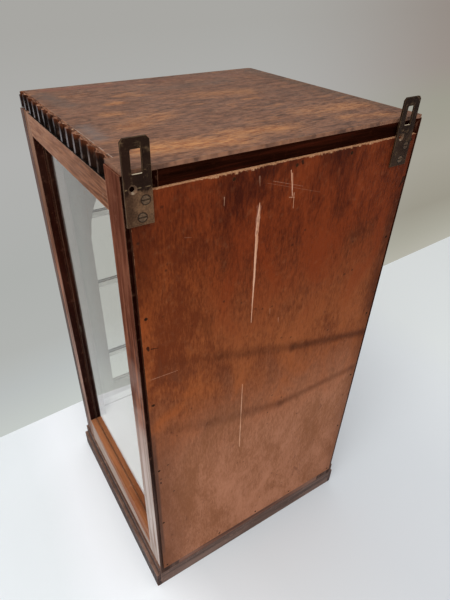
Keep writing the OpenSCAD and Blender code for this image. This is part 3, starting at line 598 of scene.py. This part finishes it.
def top_weather(tree, place, shade, figure, used):
    """Brown-grey with a short fine grain, orange where the stain has gone, grey patches near the right
    side and the front that are painted sheen with painted shade towards the edges, two dents, and the
    joint along the right strip's lip filled with pale dirt."""
    dashes = noise(tree, place, (150.0, 720.0, 60.0), 3.0, 0.3)
    streaks = noise(tree, place, (42.0, 200.0, 60.0), 4.0, 0.6)
    grain = slide(tree, plus(tree, times(tree, dashes, 0.6), times(tree, streaks, 0.4)), 0.36, 0.62)
    shade = blend(tree, 0.75, shade, blend(tree, grain, "#4a2f23", "#8e6148"))
    cloud = noise(tree, place, (24.0, 46.0, 20.0), 5.0, 0.8)
    warm = times(tree, slide(tree, cloud, 0.56, 0.74), 0.5)
    for first, last, wide, strength in (
            ((0.074, -0.031), (0.085, -0.031), 0.010, 1.0),
            ((0.112, 0.106), (0.045, 0.119), 0.026, 1.0),
            ((0.040, 0.104), (-0.020, 0.114), 0.020, 0.8),
            ((-0.055, 0.078), (-0.125, 0.086), 0.022, 0.65),
            ((-0.075, 0.112), (-0.120, 0.124), 0.014, 0.6),
            ((-0.010, -0.022), (-0.060, -0.014), 0.026, 0.5),
            ((0.098, 0.046), (0.062, 0.028), 0.024, 0.7),
            ((0.100, 0.004), (0.092, 0.006), 0.014, 0.6),
            ((0.064, -0.058), (0.050, -0.060), 0.013, 0.5)):
        patch = top_mark(tree, place, first, last, wide, wide, 0.3, 1.0)
        patch = times(tree, patch, slide(tree, cloud, 0.28, 0.55, 0.25, strength))
        warm = most(tree, warm, patch)
    shade = blend(tree, warm, shade, blend(tree, grain, "#82492a", "#b9804f"))
    # Grey rows: painted sheen and painted shade towards the edges; the last two rows are dents.
    for first, last, wide, strength, code in (
            ((0.120, -0.117), (0.055, -0.108), 0.010, 0.5, "#7f4534"),
            ((0.040, -0.110), (-0.100, -0.100), 0.014, 0.35, "#6d3f33"),
            ((0.131, 0.066), (0.130, 0.030), 0.012, 0.5, "#6b6461"),
            ((0.128, -0.098), (0.120, -0.045), 0.017, 0.55, "#5d5049"),
            ((-0.060, -0.020), (-0.120, 0.030), 0.040, 0.2, "#553a2e"),
            ((0.020, -0.066), (-0.070, -0.072), 0.018, 0.3, "#5d5149"),
            ((-0.136, -0.110), (-0.140, 0.100), 0.020, 0.45, "#4b3f35"),
            ((-0.029, 0.079), (-0.036, 0.079), 0.0032, 0.7, "#3c2820"),
            ((-0.047, 0.106), (-0.056, 0.106), 0.0036, 0.75, "#38241c")):
        patch = top_mark(tree, place, first, last, wide, wide, 0.35, 1.0)
        patch = times(tree, patch, slide(tree, cloud, 0.3, 0.5, 0.5, 1.0))
        shade = blend(tree, times(tree, patch, strength), shade, code)
    joint = top_mark(tree, place, (lip_joint, -0.13), (lip_joint, top_rear - 0.028), 0.0005, 0.0009,
                     0.9, 0.6)
    broken = slide(tree, noise(tree, place, (60.0, 60.0, 60.0), 4.0), 0.42, 0.6)
    broken = times(tree, broken, slide(tree, split(tree, place)[1], -0.08, 0.06, 0.15, 0.75))
    return blend(tree, times(tree, joint, broken), shade, "#b9a99c")


finish(wood("top_wood", "x", ("#46302a", "#6a4a3c", "#836150"), "#8f6a50", 0.0012, 0.9,
            marks=top_weather, dull=0.45, streak=0.4, level=0.2, wear=0.5, cuts=0.1, width=1.3),
       "top_board")


def flute_wear(tree, place, shade, figure, used):
    """The flutes turn brown towards their mouths, where the black is chipped and painted light falls
    in from above; the lands between them get a pale grey that is a painted highlight, and the lip's
    upper face is weathered like the board beside it, its pale flecks painted highlights."""
    x, y, z = split(tree, place)
    ragged = times(tree, noise(tree, place, (600.0, 600.0, 160.0), 3.0), 0.009)
    # Chipped black, and painted light falling into the flutes' mouths from above.
    mouth = slide(tree, plus(tree, z, ragged), top_level - 0.001, top_level + 0.005)
    brown = blend(tree, figure["Ribbon"], "#2b1309", "#5d2e17")
    shade = blend(tree, times(tree, mouth, 0.9), shade, brown)
    # The lands' pale grey is a painted highlight, the arrises catching the light of the room.
    land = most(tree, above(tree, calc(tree, "ABSOLUTE", x), top_side - 0.0003),
                below(tree, y, frieze_front + 0.0003))
    kept = slide(tree, noise(tree, place, (130.0, 130.0, 50.0), 4.0), 0.34, 0.6)
    kept = times(tree, kept, slide(tree, z, top_level - 0.001, top_level - 0.009, 0.3, 0.8))
    grey = blend(tree, slide(tree, y, 0.02, 0.1), "#868082", "#776962")
    shade = blend(tree, times(tree, land, kept), shade, grey)
    upper = times(tree, slide(tree, face_turn(tree)[2], 0.5, 0.9), above(tree, z, top_level - 0.0004))
    dashes = slide(tree, noise(tree, place, (700.0, 150.0, 60.0), 3.0), 0.38, 0.62)
    bare = blend(tree, dashes, "#46291c", "#8f6148")
    # Pale flecks on the lip: painted highlights.
    flecks = slide(tree, noise(tree, place, (400.0, 200.0, 60.0), 3.0), 0.6, 0.7)
    bare = blend(tree, times(tree, flecks, 0.7), bare, "#c49e80")
    return blend(tree, upper, shade, bare)


# Near-black tones: ebonised flutes, darkened further as painted shade.
finish(wood("frieze_wood", "z", ("#060302", "#150a06", "#28160e"), "#7d6252", 0.0004, 0.8,
            wear=0.3, marks=flute_wear, dull=0.5, level=0.03, cuts=0.0),
       "frieze_front", "frieze_left", "frieze_right")


# ---- Back panel ----
# One sheet of plywood pinned over the frame. Its red-brown stain has faded to a pinkish tan low
# down, paler there by a painted reflection of the pale floor in the varnish. The top edge is broken
# back to raw pale veneer, and old knocks have cut through the face.
panel_side, panel_face, panel_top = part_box("back_panel")[1]
post_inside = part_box("rear_post_right")[0].x


def panel_mark(tree, place, first, last, *shape):
    """A mark on the panel's rear face, with its ends given as x and z."""
    (x, z), (end_x, end_z) = first, last
    return mark(tree, place, (x, panel_face, z), (end_x, panel_face, end_z), *shape)


def panel_stain(tree, place, hairs, clouds):
    """The stain: red-brown at the top and a pinkish tan at the foot, the foot's paleness partly a
    painted reflection of the pale floor, warmer on the right above the middle, dull along the sides
    low down, rusty in patches, and darker towards the top edge and up both sides as painted shade."""
    x, _, z = split(tree, place)
    streaks = noise(tree, place, (120.0, 20.0, 7.0), 4.0, 0.5)
    patches = noise(tree, place, (80.0, 20.0, 42.0), 5.0, 1.2)
    mixed = plus(tree, times(tree, clouds, 0.5), times(tree, streaks, 0.1), times(tree, patches, 0.12),
                 times(tree, hairs, 0.28))
    mixed = slide(tree, mixed, 0.37, 0.63)
    drop = plus(tree, z, times(tree, minus(tree, clouds, 0.5), 0.22))
    shade = blend(tree, mixed, "#3e1509", "#733115")
    middle = blend(tree, mixed, "#5e2d17", "#8e4f2c")
    # The pinkish tan at the foot is faded stain and a painted reflection of the pale floor.
    faded_with_reflection = blend(tree, mixed, "#825237", "#a67055")
    shade = blend(tree, slide(tree, drop, 0.5, 0.36), shade, middle)
    shade = blend(tree, slide(tree, drop, 0.36, 0.2), shade, faded_with_reflection)
    glow = times(tree, slide(tree, x, 0.05, 0.12), slide(tree, drop, 0.31, 0.38),
                 slide(tree, drop, 0.56, 0.46))
    shade = blend(tree, times(tree, glow, 0.4), shade, blend(tree, mixed, "#692c11", "#974f24"))
    dull = most(tree, times(tree, slide(tree, drop, 0.34, 0.28), slide(tree, x, 0.095, 0.14)),
                times(tree, slide(tree, x, -0.115, -0.142), slide(tree, drop, 0.4, 0.3)))
    shade = blend(tree, times(tree, dull, 0.5), shade, "#5a3220")
    rust = times(tree, slide(tree, patches, 0.62, 0.74), slide(tree, clouds, 0.6, 0.45))
    shade = blend(tree, times(tree, rust, 0.4), shade, "#3a160a")

    # Painted shade: darker under the top edge and up both sides.
    top_margin = times(tree, slide(tree, z, panel_top - 0.036, panel_top - 0.004),
                       slide(tree, clouds, 0.6, 0.4, 0.05, 0.32))
    right_margin = times(tree, slide(tree, x, 0.116, 0.136), slide(tree, z, 0.43, 0.49, 0.0, 0.5))
    left_margin = times(tree, slide(tree, x, -0.112, -0.138), slide(tree, z, 0.25, 0.33, 0.0, 0.38))
    margins = most(tree, top_margin, most(tree, right_margin, left_margin))
    return blend(tree, margins, shade, "#290e07")


def panel_knocks(tree, place, shade, fibre, hairs, clouds):
    """Two dark diagonal bands of three lengths each and two smudges, then scratches down to the
    pale veneer, a grazed spot on the longest one, and small dark holes. Each row gives a mark's
    ends, its width or widths, and mostly how strongly it shows."""
    smoke = slide(tree, clouds, 0.35, 0.6, 0.5, 1.0)
    for first, last, wide, deep in (
            ((0.1189, 0.387), (0.0672, 0.370), 0.011, 0.22),
            ((0.0672, 0.370), (-0.025, 0.341), 0.010, 0.42),
            ((-0.025, 0.341), (-0.136, 0.3145), 0.0095, 0.68),
            ((0.1227, 0.301), (0.0771, 0.283), 0.011, 0.25),
            ((0.0771, 0.283), (-0.0177, 0.259), 0.012, 0.42),
            ((-0.0177, 0.259), (-0.1342, 0.2586), 0.009, 0.45),
            ((0.0838, 0.4199), (0.080, 0.405), 0.009, 0.35),
            ((0.0679, 0.505), (0.060, 0.470), 0.013, 0.2)):
        band = times(tree, panel_mark(tree, place, first, last, wide, wide, 0.25, 1.0), smoke)
        shade = blend(tree, times(tree, band, deep), shade, "#3a190b")
    veneer = blend(tree, fibre, "#b98464", "#dcae92")
    for first, last, wide, end, strength in (
            ((0.0345, 0.503), (0.0342, 0.516), 0.0022, 0.0004, 0.9),
            ((0.0348, 0.503), (0.0336, 0.397), 0.0021, 0.0004, 0.9),
            ((0.0056, 0.537), (0.0012, 0.5145), 0.0005, 0.0004, 0.85),
            ((0.0040, 0.534), (0.0018, 0.520), 0.0010, 0.0003, 0.6),
            ((-0.0003, 0.517), (-0.0012, 0.5035), 0.0005, 0.0003, 0.8),
            ((0.0045, 0.5142), (-0.0015, 0.513), 0.0003, 0.0003, 0.6),
            ((0.0230, 0.5315), (-0.0090, 0.521), 0.0003, 0.0002, 0.25),
            ((0.0287, 0.531), (-0.0293, 0.5118), 0.0002, 0.0002, 0.15),
            ((0.0386, 0.319), (0.0367, 0.217), 0.0005, 0.0006, 0.8),
            ((0.0676, 0.5275), (0.0676, 0.521), 0.0006, 0.0003, 0.35),
            ((0.0362, 0.5375), (0.0352, 0.530), 0.0011, 0.0004, 0.2),
            ((0.0125, 0.405), (0.0120, 0.399), 0.0005, 0.0002, 0.5),
            ((0.0008, 0.390), (0.0000, 0.384), 0.0004, 0.0002, 0.4),
            ((0.1015, 0.5035), (0.0960, 0.5022), 0.0004, 0.0003, 0.12),
            ((0.138, 0.376), (0.112, 0.3746), 0.0004, 0.0003, 0.35)):
        cut = panel_mark(tree, place, first, last, wide, end, 0.35, 0.5)
        shade = blend(tree, times(tree, cut, strength), shade, veneer)
    veil = panel_mark(tree, place, (0.0352, 0.512), (0.0348, 0.490), 0.0028, 0.0012, 0.9, 0.4)
    shade = blend(tree, times(tree, veil, slide(tree, hairs, 0.4, 0.6), 0.6), shade, "#7d5040")
    for first, last, wide, end in (
            ((-0.1375, 0.503), (-0.1335, 0.495), 0.0030, 0.0006),
            ((-0.0052, 0.5422), (-0.0060, 0.5405), 0.0014, 0.0012),
            ((0.1382, 0.4125), (0.1376, 0.4095), 0.0015, 0.0008),
            ((0.1352, 0.410), (0.1290, 0.4085), 0.0006, 0.0003),
            ((0.1370, 0.2250), (0.1366, 0.2236), 0.0011, 0.0009)):
        hole = panel_mark(tree, place, first, last, wide, end, 0.4, 0.3)
        shade = blend(tree, times(tree, hole, 0.85), shade, "#1c0b06")
    return shade


def panel_marks(tree, place, shade, figure, used):
    """The stain, which covers the wood's own colour, and the knocks; then the top edge torn to raw
    veneer, the bare inward side with the case's paint, a dark strip low on the right, dark side
    edges, and pale dots along the right arris."""
    hairs = noise(tree, place, (640.0, 60.0, 170.0), 3.0, 0.3)
    clouds = noise(tree, place, (20.0, 10.0, 11.0), 5.0, 1.0)
    shade = panel_stain(tree, place, hairs, clouds)
    shade = panel_knocks(tree, place, shade, figure["Fibre"], hairs, clouds)

    x, _, z = split(tree, place)
    facing = face_turn(tree)
    raw = blend(tree, figure["Fibre"], "#8a5a3a", "#cfa079")
    flecks = noise(tree, place, (520.0, 200.0, 180.0), 4.0, 0.4)
    worse = slide(tree, noise(tree, place, (14.0, 10.0, 3.0), 2.0), 0.4, 0.66, 0.0003, 0.0020)
    reach = times(tree, slide(tree, flecks, 0.42, 0.66), worse)
    torn = slide(tree, minus(tree, plus(tree, z, reach), panel_top), -0.0002, 0.0003)
    shade = blend(tree, times(tree, torn, 0.7), shade, raw)
    end_grain = slide(tree, facing[2], 0.4, 0.8)
    shade = blend(tree, times(tree, end_grain, 0.55), shade, raw)
    inward = slide(tree, facing[1], -0.5, -0.9)
    shade = blend(tree, inward, shade, blend(tree, hairs, "#7b563c", "#a5805f"))
    within = times(tree, inward, above(tree, z, side_sill),
                   below(tree, calc(tree, "ABSOLUTE", x), post_inside + 0.0001))
    shade = blend(tree, within, shade, pale_paint(tree, figure, used))

    low = times(tree, slide(tree, z, 0.34, 0.26), slide(tree, z, 0.05, 0.12))
    strip = slide(tree, plus(tree, x, times(tree, used["Blotches"], 0.0015)),
                  panel_side - 0.0052, panel_side - 0.0022)
    shade = blend(tree, times(tree, strip, low, 0.8), shade, "#4a3229")
    side = slide(tree, calc(tree, "ABSOLUTE", facing[0]), 0.4, 0.8)
    shade = blend(tree, times(tree, side, 0.9), shade, "#2b160f")
    dots = slide(tree, noise(tree, place, (50.0, 50.0, 230.0), 3.0), 0.5, 0.6)
    arris = slide(tree, x, panel_side - 0.0005, panel_side - 0.0002)
    arris = times(tree, arris, times(tree, dots, slide(tree, z, 0.34, 0.42)),
                  slide(tree, facing[1], 0.5, 0.9))
    return blend(tree, times(tree, arris, 0.4), shade, raw)


def metal(name, dark, clean, bright, reach=0.0006, shine=1.0, dull=0.42, marks=None, wear=0.7,
          tarnish=0.6, level=0.5):
    """Old metal: clean metal under a cloudy dark tarnish, bright again on edges and scratches,
    with fine pits in its relief."""
    material, tree, out, place = start(name)
    used = use(tree, handling, {"Place": place, "Scale": 5.0})
    edge = use(tree, rubbed_edges, {"Place": place, "Reach": reach, "Breaks": 0.6})
    pits = noise(tree, place, (900.0, 900.0, 900.0), 3.0)
    cover = plus(tree, times(tree, used["Blotches"], 0.7),
                 times(tree, slide(tree, pits, 0.35, 0.7), 0.5))
    shade = blend(tree, times(tree, cover, tarnish), clean, dark)
    if marks:
        shade = marks(tree, place, shade, used)
    shade = blend(tree, times(tree, used["Scratches"], 0.5), shade, bright)
    shade = blend(tree, times(tree, edge["Rubbed"], wear), shade, bright)
    rough = plus(tree, dull, times(tree, cover, 0.2))
    height = minus(tree, pits, used["Scratches"])
    relief = add(tree, "Bump", {"Height": height, "Distance": 0.0001, "Strength": 0.5,
                                "Normal": edge["Eased"]}).outputs[0]
    skin = add(tree, "BsdfPrincipled", {"Base Color": shade, "Roughness": rough, "Normal": relief,
                                        "Metallic": shine, "Specular IOR Level": level})
    tree.links.new(skin.outputs[0], out.inputs[0])
    return material


finish(wood("panel_plywood", "z", ("#4b1f0f", "#682f19", "#7f401f"), "#a97752", 0.0006, 0.8,
            wear=0.08, marks=panel_marks, dull=0.45, streak=0.35, level=0.03, cuts=0.0, mottle=0.35),
       "back_panel")
finish(metal("pin_steel", "#180a06", "#38200f", "#4a2c1c", 0.0003, shine=0.0, dull=0.7, tarnish=0.9,
             level=0.05),
       "back_panel_pins")


# ---- Hanging plates ----
# Two stamped brass plates, each with a tall slot for a wall hook, screwed over the panel with two
# slotted screws; a spare countersunk hole is left empty. The heads have gone brown, and the feet
# of the plates are rubbed to an olive brass.
plate_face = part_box("hanger_right")[1].y
screw_heads = (0.1340, 0.5280), (0.1308, 0.5400), (-0.1223, 0.5245), (-0.1255, 0.5365)
ring_outside, ring_inside = 0.0042, 0.0030


def plate_spot(tree, place, x, z, radius):
    """A round spot on a plate's rear face."""
    return mark(tree, place, (x, plate_face, z), (x, plate_face, z + 0.0001), radius, radius, 0.0, 0.2)


def plate_tarnish(tree, place, shade, used):
    """Brown above the panel's edge and on the left plate, with a pale line where it changes, rubbed
    and a painted highlight on the bend, a bare seat on the top board, and a dark ring round each
    screw head."""
    x, _, z = split(tree, place)
    facing = face_turn(tree)
    line = panel_top + 0.004
    level = plus(tree, z, times(tree, used["Blotches"], 0.006))
    brown = most(tree, slide(tree, level, line, line + 0.003),
                 times(tree, slide(tree, x, 0.05, -0.05), 0.85))
    shade = blend(tree, times(tree, brown, 0.93), shade, "#1c0e08")
    outer = times(tree, slide(tree, x, 0.134, 0.143), 0.6)
    shade = blend(tree, outer, shade, "#2a170e")
    # The pale line on the bend is rubbed brass and a painted highlight.
    bend = mark(tree, place, (0.1262, plate_face, line), (0.1448, plate_face, line), 0.0004, 0.0005,
                0.6, 0.5)
    broken = slide(tree, noise(tree, place, (300.0, 300.0, 300.0), 2.0), 0.45, 0.6)
    shade = blend(tree, times(tree, bend, broken, 0.6), shade, "#937a5a")
    cone = times(tree, slide(tree, facing[1], 0.95, 0.85), slide(tree, facing[1], 0.3, 0.45))
    shade = blend(tree, times(tree, cone, 0.7), shade, "#705643")
    seat = times(tree, slide(tree, facing[2], 0.6, 0.9), below(tree, z, top_level + 0.002))
    shade = blend(tree, times(tree, seat, 0.9), shade, "#d8c9ae")
    for head in screw_heads:
        ring = times(tree, plate_spot(tree, place, *head, ring_outside),
                     minus(tree, 1.0, plate_spot(tree, place, *head, ring_inside)))
        shade = blend(tree, times(tree, ring, 0.8), shade, "#150b06")
    return shade


finish(metal("plate_brass", "#2f2018", "#77573e", "#a3835f", 0.0006, shine=0.45, dull=0.5,
             marks=plate_tarnish, tarnish=0.75, wear=0.4, level=0.1), "hanger_left", "hanger_right")
finish(metal("screw_steel", "#2a1a10", "#6f543b", "#0d0805", 0.0006, shine=0.5, dull=0.5, tarnish=0.7,
             wear=0.95),
       "hanger_screws", "catch_screws", "strike_screws")


# ---- Door ----
# Two stiles, a bottom rail and an arched top rail round four panes parted by glazing bars, hung on
# the left. The same dark reddish stain as the carcass outside, and pale paint on the inside.
door_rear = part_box("door_top_rail")[1].y
tenon = 0.009
carcass_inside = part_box("front_top_rail")[1].x - tenon


def painted_inside(tree, place, shade, figure, used):
    """Paints the rear faces and the bottom rail's upper edge, greyer next to the panes and paler
    towards the floor as painted light bounced from the pale floor, but not the margins that close
    against the posts and rails."""
    x, y, z = split(tree, place)
    wide = calc(tree, "ABSOLUTE", x)
    rear = most(tree, above(tree, y, door_rear - 0.0035), below(tree, z, side_sill + 0.06))
    inside = below(tree, plus(tree, wide, times(tree, used["Blotches"], brushed)), carcass_inside)
    span = times(tree, above(tree, z, side_sill + 0.001), below(tree, z, upper_rail_z - 0.001))
    share = times(tree, rear, inside, span, above(tree, y, door_rear - 0.011))
    paint = blend(tree, slide(tree, wide, 0.113, 0.097, 0.0, 0.6), pale_paint(tree, figure, used),
                  "#867b77")
    # Paler towards the floor: painted light bounced up from the pale floor.
    paint = blend(tree, slide(tree, z, 0.20, 0.105, 0.0, 0.4), paint, "#dfe1e2")
    paint = blend(tree, slide(tree, z, 0.104, 0.100), paint, "#f6f8f9")
    return blend(tree, share, shade, paint)


def puttied(tree, place, shade, figure, used):
    """White putty over the bars' rear faces."""
    return blend(tree, slide(tree, face_turn(tree)[1], 0.5, 0.9), shade,
                 blend(tree, used["Blotches"], "#f7f8f6", "#e6e6e2"))


door_tones = ("#2b130c", "#4c281c", "#6b4030")
for name, grain, wear, marks, pieces in (
        ("door_stile_wood", "z", 0.7, painted_inside, ("door_hinge_stile", "door_lock_stile")),
        ("door_rail_wood", "x", 0.7, painted_inside, ("door_top_rail", "door_bottom_rail")),
        ("glazing_bar_wood", "x", 0.2, puttied,
         ("glazing_bar_lower", "glazing_bar_middle", "glazing_bar_upper"))):
    finish(wood(name, grain, door_tones, "#8d6350", streak=0.6, dull=0.4, level=0.4, wear=wear,
                marks=marks), *pieces)


# ---- Knob, hinges and catch ----
# A turned brass knob drawn up by a screw, two let-in brass butt hinges, and a magnet block under
# the front rail with a zinc-plated strike on the door.
finish(metal("knob_brass", "#4a3712", "#b6974d", "#ecd79a", 0.0008, dull=0.25, tarnish=0.45),
       "door_knob", "knob_screw")
finish(metal("hinge_brass", "#43341a", "#9c8446", "#d9c286", 0.0004, dull=0.35),
       "hinge_frame_leaf_upper", "hinge_frame_leaf_lower", "hinge_door_leaf_upper",
       "hinge_door_leaf_lower", "hinge_pin_upper", "hinge_pin_lower", "hinge_frame_screws",
       "hinge_door_screws")
finish(metal("strike_steel", "#6a6a68", "#a7a9a8", "#dcdedd", 0.0003, dull=0.35, tarnish=0.5),
       "strike_plate")
finish(metal("catch_block", "#0c0c0b", "#242322", "#4b4a47", 0.0006, shine=0.0, dull=0.5),
       "magnet_catch")
